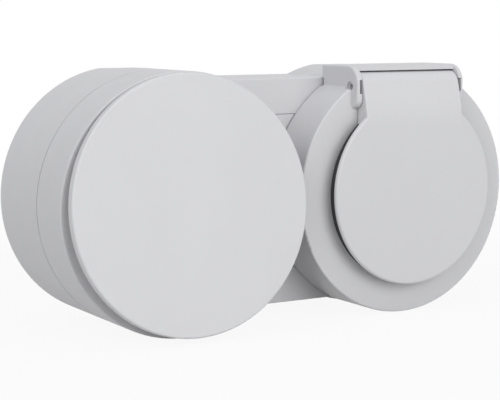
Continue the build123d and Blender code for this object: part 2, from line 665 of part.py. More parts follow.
def contact_lever():
    """Rocking contact bar with two buttons and its pivot pins, level"""
    back = LEVER_FRONT - LEVER_THICKNESS
    outline = rounded(LEFT, 0, LEVER_HALF_WIDTH, LEVER_HALF_LENGTH, LEVER_CORNER)
    bar = plate(outline, back, LEVER_FRONT)
    hub = rod(LEVER_HUB_R, LEFT - LEVER_HALF_WIDTH, LEFT + LEVER_HALF_WIDTH, LEVER_PIVOT, 0)
    behind = block(LEFT - LEVER_PIN_END, LEFT + LEVER_PIN_END, LEVER_PIVOT - LEVER_HUB_R, LEVER_FRONT,
                   -LEVER_HUB_R, LEVER_HUB_R)
    bar = bar + (hub & behind)
    bar = bar + rod(LEVER_PIN_R, LEFT - LEVER_PIN_END, LEFT + LEVER_PIN_END, LEVER_PIVOT, 0)
    for up in (-1, 1):
        bar = bar + disc(LEFT, up * BUTTON_Z, BUTTON_R, back - BUTTON_THICKNESS, back)
    return bar


def fixed_contact(up):
    """Contact button on an angled strap that ends in a terminal block"""
    floor = BASE_BACK + BASE_WALL
    strap_front = FIXED_BUTTON_FRONT - BUTTON_THICKNESS
    strap_back = strap_front - STRAP_THICKNESS
    low, high = sorted((up * (BUTTON_Z - BUTTON_R), up * TERMINAL_OUTER_Z))
    leg_low, leg_high = sorted((up * (TERMINAL_OUTER_Z - STRAP_THICKNESS), up * TERMINAL_OUTER_Z))
    left, right = LEFT - LEVER_HALF_WIDTH, LEFT + LEVER_HALF_WIDTH
    body = block(left, right, strap_back, strap_front, low, high)
    body = body + block(left, right, floor, strap_front, leg_low, leg_high)
    body = body + disc(LEFT, up * BUTTON_Z, BUTTON_R, strap_front, FIXED_BUTTON_FRONT)
    low, high = sorted((up * TERMINAL_INNER_Z, up * TERMINAL_OUTER_Z))
    left, right = LEFT - TERMINAL_HALF_WIDTH, LEFT + TERMINAL_HALF_WIDTH
    body = body + block(left, right, floor, TERMINAL_TOP, low, high)
    return body - disc(LEFT, up * TERMINAL_SCREW_Z, SCREW_R + FIT, floor - 1, TERMINAL_TOP + 1)


def common_contact():
    """Fulcrum bracket with two ears on the middle terminal block"""
    floor = BASE_BACK + BASE_WALL
    reach = FULCRUM_EAR_INNER + FULCRUM_EAR
    wide, neck, ear = TERMINAL_HALF_WIDTH, FULCRUM_NECK_HALF, FULCRUM_EAR_R
    web_front = FULCRUM_WEB + FULCRUM_WEB_THICKNESS
    body = block(LEFT - wide, LEFT + wide, floor, TERMINAL_TOP, -BLOCK_HALF, BLOCK_HALF)
    body = body + block(LEFT - neck, LEFT + neck, TERMINAL_TOP, FULCRUM_WEB, -ear, ear)
    body = body + block(LEFT - reach, LEFT + reach, FULCRUM_WEB, web_front, -ear, ear)
    for side in (-1, 1):
        low, high = sorted((LEFT + side * FULCRUM_EAR_INNER, LEFT + side * reach))
        body = body + block(low, high, FULCRUM_WEB, LEVER_PIVOT, -ear, ear)
        body = body + rod(ear, low, high, LEVER_PIVOT, 0)
        body = body - rod(LEVER_PIN_R + FIT, low - 1, high + 1, LEVER_PIVOT, 0)
    return body - disc(LEFT, 0, SCREW_R + FIT, floor - 1, TERMINAL_TOP)


def terminal_screw(x, z, seat):
    """Terminal screw driven from the wall side, its head against a terminal block"""
    body = disc(x, z, SCREW_R, seat, seat + TERMINAL_SCREW_LENGTH)
    head = disc(x, z, TERMINAL_HEAD_R, seat - TERMINAL_HEAD, seat)
    slot = Pos(x, z) * Rectangle(2 * TERMINAL_HEAD_R + 1, TERMINAL_SLOT)
    slot = plate(slot, seat - TERMINAL_HEAD - 1, seat - TERMINAL_HEAD / 2)
    return body + (head - slot)


def terminal_screws():
    """Six loose terminal screws: three in the switch, three in the socket"""
    seat = BASE_BACK + BASE_WALL
    screws = [terminal_screw(LEFT, z, seat) for z in (-TERMINAL_SCREW_Z, 0, TERMINAL_SCREW_Z)]
    for side in (-1, 1):
        screws.append(terminal_screw(RIGHT + side * PIN_SPACING / 2, BLOCK_Z, BLOCK_BACK))
    screws.append(terminal_screw(RIGHT, EARTH_TERMINAL_Z, BLOCK_BACK))
    return Compound(children=screws)


def cover_screws():
    """Two screws through the tray into the steel frame"""
    places = (COVER_SCREW_Z, -COVER_SCREW_Z)
    return Compound(children=[screw(LEFT, z, TRAY_FLOOR_FRONT, SCREW_HEAD, SCREW_HEAD_R, COVER_SCREW_END)
                              for z in places])


def frame_screws():
    """Eight screws that hold the two steel frames on their pillars"""
    spots = pillars(LEFT) + pillars(RIGHT)
    return Compound(children=[screw(px, pz, FRAME_FRONT, SCREW_HEAD, SCREW_HEAD_R, FRAME_SCREW_END)
                              for px, pz in spots])


def hood():
    """Hood over the top of the socket cover, rounded in front, with a hanging nose at each cheek"""
    front_round = CHEEK_FRONT - CHEEK_ROUND
    z_round = HOOD_TOP - CHEEK_ROUND
    nose = CHEEK_FRONT - COVER_FRONT
    nose_z = CHEEK_LOW_Z + nose
    points = [(COVER_BACK, nose_z), (COVER_BACK, HOOD_TOP), (front_round, HOOD_TOP), (front_round, z_round),
              (CHEEK_FRONT, z_round), (CHEEK_FRONT, nose_z)]
    outline = side_profile(points) + Pos(-front_round, z_round) * Circle(CHEEK_ROUND)
    outline = outline + Pos(-COVER_FRONT, nose_z) * Circle(nose)
    body = across(outline, RIGHT - HOOD_HALF, RIGHT + HOOD_HALF)
    ends = [e for e in body.edges() if abs(abs(e.center().X - RIGHT) - HOOD_HALF) < EDGE_RADIUS / 10]
    outer = [e for e in ends if e.center().Y < -COVER_BACK - 1
             and (e.center().Z > nose_z or e.center().Y < -COVER_FRONT)]
    body = fillet(outer, HOOD_EDGE_FILLET)
    return body - block(RIGHT - CHEEK_INNER, RIGHT + CHEEK_INNER, COVER_FRONT, CHEEK_FRONT + 1,
                        CHEEK_LOW_Z - 1, HOOD_TOP + 1)


def hinge_trough():
    """Room for the lid barrel, open in front between the cheeks"""
    trough_r = BARREL_R + BARREL_CLEAR
    low, high = RIGHT - CHEEK_INNER, RIGHT + CHEEK_INNER
    room = rod(trough_r, low, high, HINGE_DEPTH, HINGE_Z)
    top = HOOD_TOP - HOOD_ROOF
    room = room + block(low, high, HINGE_DEPTH - trough_r, CHEEK_FRONT + 1, HINGE_Z, top)
    return room + block(low, high, HINGE_DEPTH, CHEEK_FRONT + 1, HINGE_Z - 1, HINGE_Z)


def snap_slot(side):
    """Slot that the barrel shoulder slides into, and the trunnion hole beyond it"""
    low, high = sorted((RIGHT + side * (CHEEK_INNER - 1), RIGHT + side * (CHEEK_INNER + SNAP_DEPTH)))
    cut = rod(SNAP_R, low, high, HINGE_DEPTH, HINGE_Z)
    cut = cut + block(low, high, HINGE_DEPTH, CHEEK_FRONT + 1, HINGE_Z - SNAP_R, HINGE_Z + SNAP_R)
    low, high = sorted((RIGHT + side * CHEEK_INNER, RIGHT + side * (HOOD_HALF + 1)))
    return cut + rod(LID_TRUNNION_R + FIT, low, high, HINGE_DEPTH, HINGE_Z)


def hood_notch(side):
    """Small notch behind the end of the hood where it stands over the bridge"""
    low, high = sorted((RIGHT + side * (HOOD_HALF - NOTCH_WIDTH), RIGHT + side * (HOOD_HALF + 1)))
    return block(low, high, COVER_BACK - 1, COVER_BACK + NOTCH_DEPTH, NOTCH_LOW_Z, BRIDGE_HALF_HEIGHT)


def trough_shell():
    """Material kept round the hinge trough inside the cover"""
    wall_r = BARREL_R + BARREL_CLEAR + TROUGH_WALL
    low, high = RIGHT - HOOD_HALF, RIGHT + HOOD_HALF
    shell = rod(wall_r, low, high, HINGE_DEPTH, HINGE_Z)
    return shell + block(low, high, HINGE_DEPTH - wall_r, COVER_FRONT, HINGE_Z, HOOD_TOP)


def socket_cover():
    """Cover round the socket with its collar, inner flange and hinge hood"""
    body = cover_shell(RIGHT) + hood() - (cover_hollow(RIGHT) - trough_shell())
    body = body + ring(RIGHT, 0, COLLAR_OUTER_R, COLLAR_INNER_R, FACE_BACK, COLLAR_FRONT)
    body = body - hinge_trough()
    body = body - disc(RIGHT, 0, FLANGE_INNER_R, FACE_BACK - 10, COVER_FRONT + 1)
    body = body - disc(RIGHT, 0, COLLAR_INNER_R, INSERT_SEAT, COLLAR_FRONT + 1)
    for side in (-1, 1):
        body = body - snap_slot(side) - hood_notch(side)
    return body


def tongue_touch():
    """Depth and height where the slope of the tongue meets the barrel"""
    slope = radians(TONGUE_SLOPE)
    return HINGE_DEPTH + BARREL_R * cos(slope), HINGE_Z + BARREL_R * sin(slope)


def tongue_bend_z():
    """Height where the slope line leaves the front plane of the lid"""
    touch_depth, touch_z = tongue_touch()
    return touch_z - (LID_FRONT - touch_depth) / tan(radians(TONGUE_SLOPE))


def bent(points):
    """Side outline through points, rounded where the slope leaves the front plane"""
    outline = side_profile(points)
    bend = outline.vertices().sort_by_distance((-LID_FRONT, tongue_bend_z(), 0))[0]
    return fillet(bend, TONGUE_BEND_R)


def lid_profile():
    """Side view of the tongue: flat plate, bend, slope and hinge barrel"""
    slope = radians(TONGUE_SLOPE)
    touch_depth, touch_z = tongue_touch()
    bend_z = tongue_bend_z()
    inner_bend = bend_z - LID_THICKNESS * tan(slope / 2)
    inner_end = (touch_depth - LID_THICKNESS * cos(slope), touch_z - LID_THICKNESS * sin(slope))
    outline = bent([(LID_FRONT, TONGUE_LOW_Z), (LID_FRONT, bend_z), (touch_depth, touch_z), inner_end,
                    (LID_BACK, inner_bend), (LID_BACK, TONGUE_LOW_Z)])
    return outline + Pos(-HINGE_DEPTH, HINGE_Z) * Circle(BARREL_R)


def above_slope():
    """Space in front of the sloped tongue, which the round plate must leave free"""
    touch_depth, touch_z = tongue_touch()
    low, high = RIGHT - TONGUE_HALF, RIGHT + TONGUE_HALF
    solid = bent([(LID_FRONT, TONGUE_LOW_Z), (LID_FRONT, tongue_bend_z()), (touch_depth, touch_z),
                  (HINGE_DEPTH, touch_z), (HINGE_DEPTH, TONGUE_LOW_Z)])
    return block(low, high, HINGE_DEPTH, LID_FRONT + 1, TONGUE_LOW_Z, touch_z) - across(solid, low, high)


def lid_wall(side):
    """Side wall of the tongue, from the seal up to the barrel, just clear of the ring face"""
    back = COVER_FRONT + CLEAR
    low_z = TONGUE_HALF
    inside = LID_BACK + LID_THICKNESS / 4
    points = [(inside, low_z), (back, low_z), (back, HINGE_Z - SNAP_R), (HINGE_DEPTH + SNAP_R, HINGE_Z),
              (tongue_touch()[0] - LID_THICKNESS / 4, HINGE_Z), (inside, tongue_bend_z() + 1)]
    low, high = sorted((RIGHT + side * (TONGUE_HALF - TONGUE_WALL), RIGHT + side * TONGUE_HALF))
    wall = across(side_profile(points), low, high)
    return wall - disc(RIGHT, 0, SEAL_OUTER_R + FIT, back - 1, LID_BACK)


def lid_plate():
    """Round plate: rounded flange in front and the raised middle behind it"""
    flange = disc(RIGHT, LID_Z, LID_R, LID_RIM_BACK, LID_FRONT)
    rim = flange.edges().filter_by(GeomType.CIRCLE).group_by(Axis.Y)[0]
    plate_body = fillet(rim, LID_FILLET) + disc(RIGHT, 0, LID_MIDDLE_R, LID_BACK, LID_RIM_BACK)
    return plate_body - above_slope()


def lid_barrel_cuts():
    """Room for the spring in the middle of the barrel, open towards the back"""
    low, high = RIGHT - SPRING_HALF, RIGHT + SPRING_HALF
    reach = BARREL_R + 1
    cut = rod(BARREL_R - SPRING_COVER, low, high, HINGE_DEPTH, HINGE_Z)
    cut = cut + block(low, high, HINGE_DEPTH - reach, HINGE_DEPTH, HINGE_Z - reach, HINGE_Z + reach)
    return cut - rod(SPRING_CORE_R, low, high, HINGE_DEPTH, HINGE_Z)


def lid_pivot(side):
    """Shoulder in the snap slot and the cored trunnion beyond it"""
    shoulder = CHEEK_INNER + SNAP_DEPTH - NARROW_CLEAR
    low, high = sorted((RIGHT + side * (TONGUE_HALF - 1), RIGHT + side * shoulder))
    body = rod(LID_BOSS_R, low, high, HINGE_DEPTH, HINGE_Z)
    low, high = sorted((RIGHT + side * shoulder, RIGHT + side * LID_TRUNNION_END))
    return body + rod(LID_TRUNNION_R, low, high, HINGE_DEPTH, HINGE_Z)


def lid():
    """Sprung lid with its tongue, barrel, shoulders and trunnions"""
    tongue = across(lid_profile(), RIGHT - TONGUE_HALF, RIGHT + TONGUE_HALF)
    sides = [e for e in tongue.edges() if abs(abs(e.center().X - RIGHT) - TONGUE_HALF) < EDGE_RADIUS / 10
             and e.center().Y < -HINGE_DEPTH - BARREL_R]
    body = lid_plate() + fillet(sides, TONGUE_FILLET)
    for side in (-1, 1):
        body = body + lid_wall(side) + lid_pivot(side)
        low, high = sorted((RIGHT + side * (LID_TRUNNION_END - LID_TRUNNION_CORE), RIGHT + side * HOOD_HALF))
        body = body - rod(LID_TRUNNION_CORE_R, low, high, HINGE_DEPTH, HINGE_Z)
    return body - lid_barrel_cuts()


def lid_seal():
    """Soft ring on the back of the flange that closes on the collar, with a skirt round the collar"""
    seal = ring(RIGHT, 0, SEAL_OUTER_R, SEAL_INNER_R, COLLAR_FRONT, LID_RIM_BACK)
    seal = seal - across(lid_profile(), RIGHT - TONGUE_HALF, RIGHT + TONGUE_HALF)
    return seal + ring(RIGHT, 0, SEAL_OUTER_R, SEAL_OUTER_R - SEAL_SKIRT, SEAL_SKIRT_END, COLLAR_FRONT)


def lid_spring():
    """Torsion spring round the barrel core, one leg on the tongue and one on the trough"""
    height = SPRING_PITCH * SPRING_TURNS
    path = Helix(pitch=SPRING_PITCH, height=height, radius=SPRING_R)
    front_end = Plane(origin=path @ 0, z_dir=path % 0) * Circle(SPRING_WIRE_R)
    back_end = Plane(origin=path @ 1, z_dir=path % 1) * Circle(SPRING_WIRE_R)
    wire = coil(SPRING_WIRE_R, SPRING_R, SPRING_PITCH, SPRING_TURNS)
    wire = wire + extrude(front_end, -SPRING_FRONT_LEG) + extrude(back_end, SPRING_BACK_LEG)
    return Pos(RIGHT - height / 2, -HINGE_DEPTH, HINGE_Z) * Rot(0, 90, 0) * wire


def socket_insert():
    """Round socket well with its pin holes, key ribs and earth slots"""
    body = disc(RIGHT, 0, INSERT_R, INSERT_SEAT, INSERT_FRONT)
    body = body + disc(RIGHT, 0, WELL_R + WELL_WALL, WELL_BACK, INSERT_FRONT)
    rim = body.edges().filter_by(GeomType.CIRCLE).group_by(Axis.Y)[0]
    body = fillet(rim, EDGE_RADIUS)
    body = body - disc(RIGHT, 0, WELL_R, WELL_FLOOR, INSERT_FRONT + 1)
    for side in (-1, 1):
        low, high = sorted((RIGHT + side * KEY_RIB_REACH, RIGHT + side * (WELL_R + MERGE)))
        body = body + block(low, high, WELL_FLOOR, INSERT_FRONT - 1, -KEY_RIB_HALF, KEY_RIB_HALF)
        body = body - disc(RIGHT + side * PIN_SPACING / 2, 0, PIN_HOLE_R, WELL_BACK - 1, WELL_FLOOR + 1)
        low, high = sorted((side * EARTH_SLOT_INNER, side * EARTH_SLOT_OUTER))
        body = body - block(RIGHT - EARTH_SLOT_HALF, RIGHT + EARTH_SLOT_HALF, WELL_BACK - 1, INSERT_FRONT + 1,
                            low, high)
    body = body - disc(RIGHT, 0, SCREW_HEAD_R + CLEAR, INSERT_SCREW_SEAT, WELL_FLOOR + 1)
    return body - disc(RIGHT, 0, FRAME_HOLE_R, WELL_BACK - 1, INSERT_SCREW_SEAT)


def insert_screw():
    """Centre screw that clamps the insert, cover and base together"""
    return screw(RIGHT, 0, INSERT_SCREW_SEAT, INSERT_SCREW_HEAD, SCREW_HEAD_R, INSERT_SCREW_END)


def socket_base():
    """Base behind the well, with cavities for the contacts and the earth bracket"""
    base = disc(RIGHT, 0, SOCKET_BODY_R, SOCKET_BODY_BACK, WELL_BACK)
    base = base + disc(RIGHT, 0, SOCKET_BASE_R, SOCKET_BASE_FLANGE_BACK, FRAME_BACK)
    base = base - disc(RIGHT, 0, WELL_R + WELL_WALL + CLEAR, WELL_BACK, FRAME_BACK + 1)
    deep_z = (SOCKET_DEEP_LOW + SOCKET_DEEP_HIGH) / 2
    deep_half = (SOCKET_DEEP_HIGH - SOCKET_DEEP_LOW) / 2
    deep = rounded(RIGHT, deep_z, SOCKET_DEEP_HALF_X, deep_half, SOCKET_DEEP_CORNER)
    base = base + plate(deep, SOCKET_DEEP_BACK, SOCKET_BODY_BACK)
    top = WELL_BACK + 1
    room = BLOCK_HALF + CAVITY_GAP
    for side in (-1, 1):
        x = RIGHT + side * PIN_SPACING / 2
        leaf = FORK_GAP + LEAF + CAVITY_GAP
        strap = FORK_STRAP_HALF + CAVITY_GAP
        base = base - block(x - leaf, x + leaf, SOCKET_DEEP_BACK + SOCKET_DEEP_WALL, top,
                            -FORK_HALF_Z - CAVITY_GAP, FORK_HALF_Z + LEAF + CAVITY_GAP)
        base = base - block(x - strap, x + strap, FORK_FRONT - FORK_STRAP_ROOM, top, FORK_HALF_Z, BLOCK_Z)
        base = base - block(x - room, x + room, BLOCK_BACK, top, BLOCK_Z - room, BLOCK_Z + room)
        base = base - disc(x, BLOCK_Z, TERMINAL_HEAD_R + CLEAR, SOCKET_BODY_BACK - 1, BLOCK_BACK)
    half = EARTH_HALF_WIDTH + CAVITY_GAP
    base = base - block(RIGHT - half, RIGHT + half, WELL_BACK - EARTH_THICKNESS - EARTH_ROOM, top,
                        -EARTH_LEG_Z - EARTH_ROOM, EARTH_LEG_Z + EARTH_ROOM)
    base = base - block(RIGHT - room, RIGHT + room, BLOCK_BACK, top,
                        EARTH_TERMINAL_Z - room, EARTH_TERMINAL_Z + room)
    base = base - disc(RIGHT, EARTH_TERMINAL_Z, TERMINAL_HEAD_R + CLEAR, SOCKET_BODY_BACK - 1, BLOCK_BACK)
    return base - disc(RIGHT, 0, SCREW_R + FIT, INSERT_SCREW_END - 1, top)


def live_contact(side):
    """Two-leaf fork round a plug pin, with its strap and terminal block"""
    x = RIGHT + side * PIN_SPACING / 2
    outer = FORK_GAP + LEAF
    fork = block(x - outer, x + outer, FORK_BACK, FORK_FRONT, -FORK_HALF_Z, FORK_HALF_Z + LEAF)
    fork = fork - block(x - FORK_GAP, x + FORK_GAP, FORK_BACK - 1, FORK_FRONT + 1,
                        -FORK_HALF_Z - 1, FORK_HALF_Z)
    half, strap_back = FORK_STRAP_HALF, FORK_FRONT - STRAP_THICKNESS
    fork = fork + block(x - half, x + half, strap_back, FORK_FRONT, FORK_HALF_Z, BLOCK_Z)
    low, high = BLOCK_Z - BLOCK_HALF, BLOCK_Z + BLOCK_HALF
    terminal = block(x - BLOCK_HALF, x + BLOCK_HALF, BLOCK_BACK, BLOCK_FRONT, low, high)
    return fork + terminal - disc(x, BLOCK_Z, SCREW_R + FIT, BLOCK_BACK - 1, BLOCK_FRONT + 1)


def earth_bracket():
    """Earth strap behind the well with a spring clip at the top and at the bottom"""
    front = WELL_BACK
    back = WELL_BACK - EARTH_THICKNESS
    inner = EARTH_LEG_Z - EARTH_THICKNESS
    clip = EARTH_CLIP_OUTSIDE + EARTH_CLIP_INSIDE
    half = [(back, 0), (back, EARTH_LEG_Z)] + clip + [(front, inner), (front, 0)]
    upper = across(side_profile(half), RIGHT - EARTH_HALF_WIDTH, RIGHT + EARTH_HALF_WIDTH)
    strap = upper + mirror(upper, Plane.XY)
    strap = strap + block(RIGHT - BLOCK_HALF, RIGHT + BLOCK_HALF, BLOCK_BACK, back,
                          EARTH_TERMINAL_Z - BLOCK_HALF, EARTH_TERMINAL_Z + BLOCK_HALF)
    strap = strap - disc(RIGHT, 0, FRAME_HOLE_R, back - 1, front + 1)
    return strap - disc(RIGHT, EARTH_TERMINAL_Z, SCREW_R + FIT, BLOCK_BACK - 1, back - EARTH_THICKNESS)


def cable_grommet(x):
    """Soft cable entry seated in the flat under a cup"""
    neck_r = ENTRY_HOLE_R - FIT
    flange_z = ENTRY_FLAT_Z - GROMMET_FLANGE
    lip_z = ENTRY_PAD_Z + GROMMET_LIP
    top_z = lip_z + GROMMET_SLEEVE
    points = [(CABLE_R, flange_z), (GROMMET_FLANGE_R - EDGE_RADIUS, flange_z),
              (GROMMET_FLANGE_R, flange_z + EDGE_RADIUS), (GROMMET_FLANGE_R, ENTRY_FLAT_Z),
              (neck_r, ENTRY_FLAT_Z), (neck_r, ENTRY_PAD_Z), (GROMMET_LIP_R, ENTRY_PAD_Z),
              (GROMMET_LIP_R - GROMMET_TAPER, lip_z), (CABLE_R + GROMMET_SLEEVE_WALL, top_z),
              (CABLE_R, top_z)]
    section = Plane.XZ * make_face(Polyline(points, close=True))
    return Pos(x, -ENTRY_DEPTH, 0) * revolve(section, Axis.Z)


def rocked(shape):
    """Shape tipped with the rocker to its rest position"""
    return about_x(shape, PIVOT_DEPTH, 0, -REST_TILT)


nodes = {
    "left_cup": cup(LEFT),
    "right_cup": cup(RIGHT),
    "bridge": bridge(),
    "entry_plate_left": entry_plate(LEFT),
    "entry_plate_right": entry_plate(RIGHT),
    "bridge_cap_upper": bridge_cap(1),
    "bridge_cap_lower": bridge_cap(-1),
    "gasket_left": box_gasket(LEFT),
    "gasket_right": box_gasket(RIGHT),
    "grommet_left": cable_grommet(LEFT),
    "grommet_right": cable_grommet(RIGHT),
    "switch_frame": switch_frame(),
    "socket_frame": socket_frame(),
    "frame_screws": frame_screws(),
    "switch_base": switch_base(),
    "upper_contact": fixed_contact(1),
    "lower_contact": fixed_contact(-1),
    "common_contact": common_contact(),
    "contact_lever": about_x(contact_lever(), LEVER_PIVOT, 0, LEVER_TILT),
    "terminal_screws": terminal_screws(),
    "switch_cover": switch_cover(),
    "cover_screws": cover_screws(),
    "rocker": rocked(rocker_plate()),
    "rocker_yoke": rocked(yoke()),
    "plunger": rocked(plunger()),
    "plunger_spring": rocked(plunger_spring()),
    "socket_base": socket_base(),
    "live_contact_left": live_contact(-1),
    "live_contact_right": live_contact(1),
    "earth_bracket": earth_bracket(),
    "socket_insert": socket_insert(),
    "insert_screw": insert_screw(),
    "socket_cover": socket_cover(),
    "lid": lid(),
    "lid_seal": lid_seal(),
    "lid_spring": lid_spring(),
}

os.makedirs("parts", exist_ok=True)
for name, shape in nodes.items():
    export_step(shape, "parts/" + name + ".step")
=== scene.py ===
import json
import math

import bpy
from mathutils import Matrix, Vector


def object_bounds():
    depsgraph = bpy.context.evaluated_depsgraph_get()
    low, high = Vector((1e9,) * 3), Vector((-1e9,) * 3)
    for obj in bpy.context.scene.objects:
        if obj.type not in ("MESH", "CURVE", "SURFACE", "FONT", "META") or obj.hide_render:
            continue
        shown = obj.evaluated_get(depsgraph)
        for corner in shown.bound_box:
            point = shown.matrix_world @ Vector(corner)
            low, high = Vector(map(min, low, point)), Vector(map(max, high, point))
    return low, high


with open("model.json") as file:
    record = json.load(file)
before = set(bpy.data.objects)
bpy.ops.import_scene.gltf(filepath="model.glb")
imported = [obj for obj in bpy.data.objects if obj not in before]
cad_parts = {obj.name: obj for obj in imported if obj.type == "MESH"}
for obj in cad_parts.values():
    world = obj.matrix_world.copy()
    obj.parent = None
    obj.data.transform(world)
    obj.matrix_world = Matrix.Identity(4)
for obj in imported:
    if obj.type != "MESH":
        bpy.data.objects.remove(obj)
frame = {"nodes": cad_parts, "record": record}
cad_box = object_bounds()

# Camera of the photograph: place in metres, angles in radians, film and lens in millimetres
CAMERA_PLACE = (-0.22744, -0.39518, 0.05139)
CAMERA_YAW = 0.5385
CAMERA_PITCH = 0.1235
CAMERA_ROLL = 0.0014
CAMERA_FILM = 36.0
CAMERA_LENS = 105.84

# Floor: height, half width and tones, and its share of plain white near the object and far off
FLOOR_Z = cad_box[0][2]
FLOOR_HALF = 6.0
FLOOR_DARK = (0.62, 0.62, 0.62)
FLOOR_LIGHT = (0.64, 0.64, 0.64)
FLOOR_CLOUD_SCALE = 3
WHITE_SHARE_NEAR = 0.92
WHITE_SHARE_FAR = 1.0
FADE_START = 0.1
FADE_END = 0.35

# Light: strength and tint of the surroundings, and lamps with their names, places and watts
WORLD_LEVEL = 0.45
WORLD_TINT = (0.94, 0.96, 1.0)
LAMP_TARGET = (0, -0.03, 0)
LAMP_SIZE = 0.8
LAMPS = [
    ("front", (0.15, -1.1, 0.35), 5.6),
    ("upper_left", (-0.85, -0.35, 0.5), 2.9),
    ("top", (0, -0.05, 0.9), 1.3),
]

# Scales of the plastic's flow marks, uneven sheen, shallow waves and fine grain
FLOW_SCALE = 34
SHEEN_SCALE = 210
WAVE_SCALE = 46
GRAIN_SCALE = 3300

# Scales of the rubber's bloom and pits
BLOOM_SCALE = 120
PIT_SCALE = 1900

# Scales of the metals' cloudy plating, rolling lines and tarnish
PLATING_SCALE = 90
SCREW_PLATING_SCALE = 300
ROLLED_SCALE = 900
STAMPED_SCALE = 1400
TARNISH_SCALE = 160

# Scale at which the wave texture gives a band every millimetre, for the screw threads
THREAD_SCALE = 314.0

# Range in which most values of a noise texture lie
NOISE_LOW = 0.3
NOISE_HIGH = 0.7


def new_tree(name):
    """Node material with its tree and its Principled shader"""
    material = bpy.data.materials.new(name)
    material.use_nodes = True
    tree = material.node_tree
    shader = next(n for n in tree.nodes if n.type == "BSDF_PRINCIPLED")
    return material, tree, shader


def part_coords(tree):
    """Coordinates of the part's own frame, in metres"""
    return tree.nodes.new("ShaderNodeTexCoord").outputs["Object"]


def noise(tree, coords, scale, detail, rough, stretch=(1, 1, 1)):
    """Noise in the part's own space, with optional stretch per axis"""
    mapping = tree.nodes.new("ShaderNodeMapping")
    mapping.inputs["Scale"].default_value = stretch
    tree.links.new(coords, mapping.inputs["Vector"])
    node = tree.nodes.new("ShaderNodeTexNoise")
    node.inputs["Scale"].default_value = scale
    node.inputs["Detail"].default_value = detail
    node.inputs["Roughness"].default_value = rough
    tree.links.new(mapping.outputs["Vector"], node.inputs["Vector"])
    return node.outputs["Fac"]


def ramp(tree, source, low, high, dark, light):
    """Colour between two tones as a texture goes from low to high"""
    node = tree.nodes.new("ShaderNodeValToRGB")
    node.color_ramp.elements[0].position = low
    node.color_ramp.elements[0].color = (*dark, 1)
    node.color_ramp.elements[1].position = high
    node.color_ramp.elements[1].color = (*light, 1)
    tree.links.new(source, node.inputs["Fac"])
    return node.outputs["Color"]


def tint(tree, shader, source, colour, change, low, high):
    """Base colour that a texture makes a little darker and lighter"""
    dark = [c * (1 - change) for c in colour]
    light = [c * (1 + change) for c in colour]
    tree.links.new(ramp(tree, source, low, high, dark, light), shader.inputs["Base Color"])


def sheen(tree, shader, source, low, high):
    """Roughness between low and high that follows a texture"""
    node = tree.nodes.new("ShaderNodeMapRange")
    node.inputs["From Min"].default_value = NOISE_LOW
    node.inputs["From Max"].default_value = NOISE_HIGH
    node.inputs["To Min"].default_value = low
    node.inputs["To Max"].default_value = high
    tree.links.new(source, node.inputs["Value"])
    tree.links.new(node.outputs["Result"], shader.inputs["Roughness"])


def bump(tree, shader, source, strength, distance, below=None):
    """Relief from a texture, on top of another relief if one is given"""
    node = tree.nodes.new("ShaderNodeBump")
    node.inputs["Strength"].default_value = strength
    node.inputs["Distance"].default_value = distance
    tree.links.new(source, node.inputs["Height"])
    if below is not None:
        tree.links.new(below, node.inputs["Normal"])
    tree.links.new(node.outputs["Normal"], shader.inputs["Normal"])
    return node.outputs["Normal"]


def moulded_plastic(name, colour, rough=0.46, grain=0.22):
    """Plastic from an eroded mould: fine grain, faint flow marks and uneven sheen"""
    material, tree, shader = new_tree(name)
    coords = part_coords(tree)
    flow = noise(tree, coords, FLOW_SCALE, detail=4, rough=0.55, stretch=(1, 1, 0.45))
    tint(tree, shader, flow, colour, change=0.014, low=0.32, high=0.68)
    uneven = noise(tree, coords, SHEEN_SCALE, detail=3, rough=0.6)
    sheen(tree, shader, uneven, low=rough - 0.04, high=rough + 0.05)
    shallow = noise(tree, coords, WAVE_SCALE, detail=2, rough=0.4)
    waves = bump(tree, shader, shallow, strength=0.06, distance=0.0006)
    fine = noise(tree, coords, GRAIN_SCALE, detail=2, rough=0.6)
    bump(tree, shader, fine, strength=grain, distance=0.00002, below=waves)
    shader.inputs["IOR"].default_value = 1.49
    shader.inputs["Specular IOR Level"].default_value = 0.42
    return material


def rubber(name, colour):
    """Soft elastomer: dull, with bloom and a slightly pitted skin"""
    material, tree, shader = new_tree(name)
    coords = part_coords(tree)
    bloom = noise(tree, coords, BLOOM_SCALE, detail=5, rough=0.6)
    tint(tree, shader, bloom, colour, change=0.12, low=0.35, high=0.7)
    sheen(tree, shader, bloom, low=0.62, high=0.82)
    pits = noise(tree, coords, PIT_SCALE, detail=3, rough=0.7)
    bump(tree, shader, pits, strength=0.3, distance=0.00003)
    shader.inputs["Specular IOR Level"].default_value = 0.35
    return material


def plated_steel(name, colour, rough, stretch):
    """Zinc-plated steel: rolling lines under a cloudy plating"""
    material, tree, shader = new_tree(name)
    coords = part_coords(tree)
    cloud = noise(tree, coords, PLATING_SCALE, detail=5, rough=0.6)
    tint(tree, shader, cloud, colour, change=0.07, low=0.3, high=0.7)
    lines = noise(tree, coords, ROLLED_SCALE, detail=3, rough=0.6, stretch=stretch)
    sheen(tree, shader, lines, low=rough - 0.08, high=rough + 0.1)
    bump(tree, shader, lines, strength=0.12, distance=0.00003)
    shader.inputs["Metallic"].default_value = 1.0
    return material


def stamped_brass(name, colour, rough):
    """Stamped brass: fine rolling lines with darker tarnish clouds"""
    material, tree, shader = new_tree(name)
    coords = part_coords(tree)
    tarnish = noise(tree, coords, TARNISH_SCALE, detail=6, rough=0.65)
    tint(tree, shader, tarnish, colour, change=0.16, low=0.32, high=0.66)
    sheen(tree, shader, tarnish, low=rough, high=rough + 0.14)
    lines = noise(tree, coords, STAMPED_SCALE, detail=2, rough=0.5, stretch=(1, 0.12, 1))
    bump(tree, shader, lines, strength=0.1, distance=0.00002)
    shader.inputs["Metallic"].default_value = 1.0
    return material


